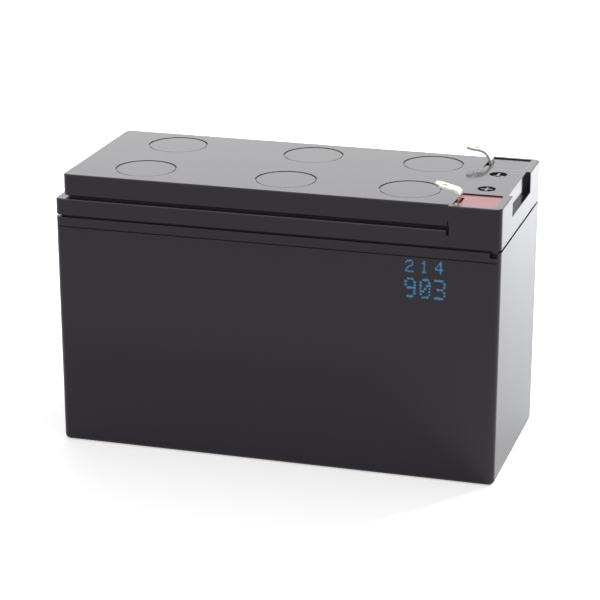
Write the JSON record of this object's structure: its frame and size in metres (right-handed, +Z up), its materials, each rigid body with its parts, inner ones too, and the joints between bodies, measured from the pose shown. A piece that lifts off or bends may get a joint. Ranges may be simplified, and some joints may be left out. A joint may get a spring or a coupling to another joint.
{
  "type": "sealed lead-acid ups battery",
  "caption": "Black sealed lead-acid battery block for a ups battery cartridge, with a vented lid, red and black terminal pockets and flat push-on tabs.",
  "frame": {"origin": "centre of the underside, on the surface that the battery stands on", "axes": "+X along the length towards the terminal end, +Y across the width towards the negative terminal, +Z up"},
  "size_m": [0.151, 0.065, 0.0993],
  "materials": {
    "container_plastic": "semi-gloss moulded black ABS",
    "lid_plastic": "semi-gloss moulded black ABS",
    "cover_plastic": "semi-gloss moulded black ABS",
    "valve_rubber": "matt black",
    "positive_plate_lead": "pasted dark brown lead dioxide on a cast grid",
    "negative_plate_lead": "pasted grey spongy lead on a cast grid",
    "glass_mat": "white absorbent glass mat",
    "post_lead": "cast lead",
    "seal_rubber": "matt black",
    "blade_tin": "bright tin plating on brass",
    "positive_resin": "cast red epoxy",
    "negative_resin": "cast black epoxy"
  },
  "bodies": {
    "root": {"container": "container_plastic", "lid": "lid_plastic", "vent_cover": "cover_plastic", "valve_cap_1": "valve_rubber", "valve_cap_2": "valve_rubber", "valve_cap_3": "valve_rubber", "valve_cap_4": "valve_rubber", "valve_cap_5": "valve_rubber", "valve_cap_6": "valve_rubber", "cell_1_positive_plates": "positive_plate_lead", "cell_1_negative_plates": "negative_plate_lead", "cell_1_glass_mats": "glass_mat", "cell_2_positive_plates": "positive_plate_lead", "cell_2_negative_plates": "negative_plate_lead", "cell_2_glass_mats": "glass_mat", "cell_3_positive_plates": "positive_plate_lead", "cell_3_negative_plates": "negative_plate_lead", "cell_3_glass_mats": "glass_mat", "cell_4_positive_plates": "positive_plate_lead", "cell_4_negative_plates": "negative_plate_lead", "cell_4_glass_mats": "glass_mat", "cell_5_positive_plates": "positive_plate_lead", "cell_5_negative_plates": "negative_plate_lead", "cell_5_glass_mats": "glass_mat", "cell_6_positive_plates": "positive_plate_lead", "cell_6_negative_plates": "negative_plate_lead", "cell_6_glass_mats": "glass_mat", "positive_post": "post_lead", "positive_seal_ring": "seal_rubber", "positive_blade": "blade_tin", "positive_resin": "positive_resin", "negative_post": "post_lead", "negative_seal_ring": "seal_rubber", "negative_blade": "blade_tin", "negative_resin": "negative_resin"}
  },
  "joints": []
}
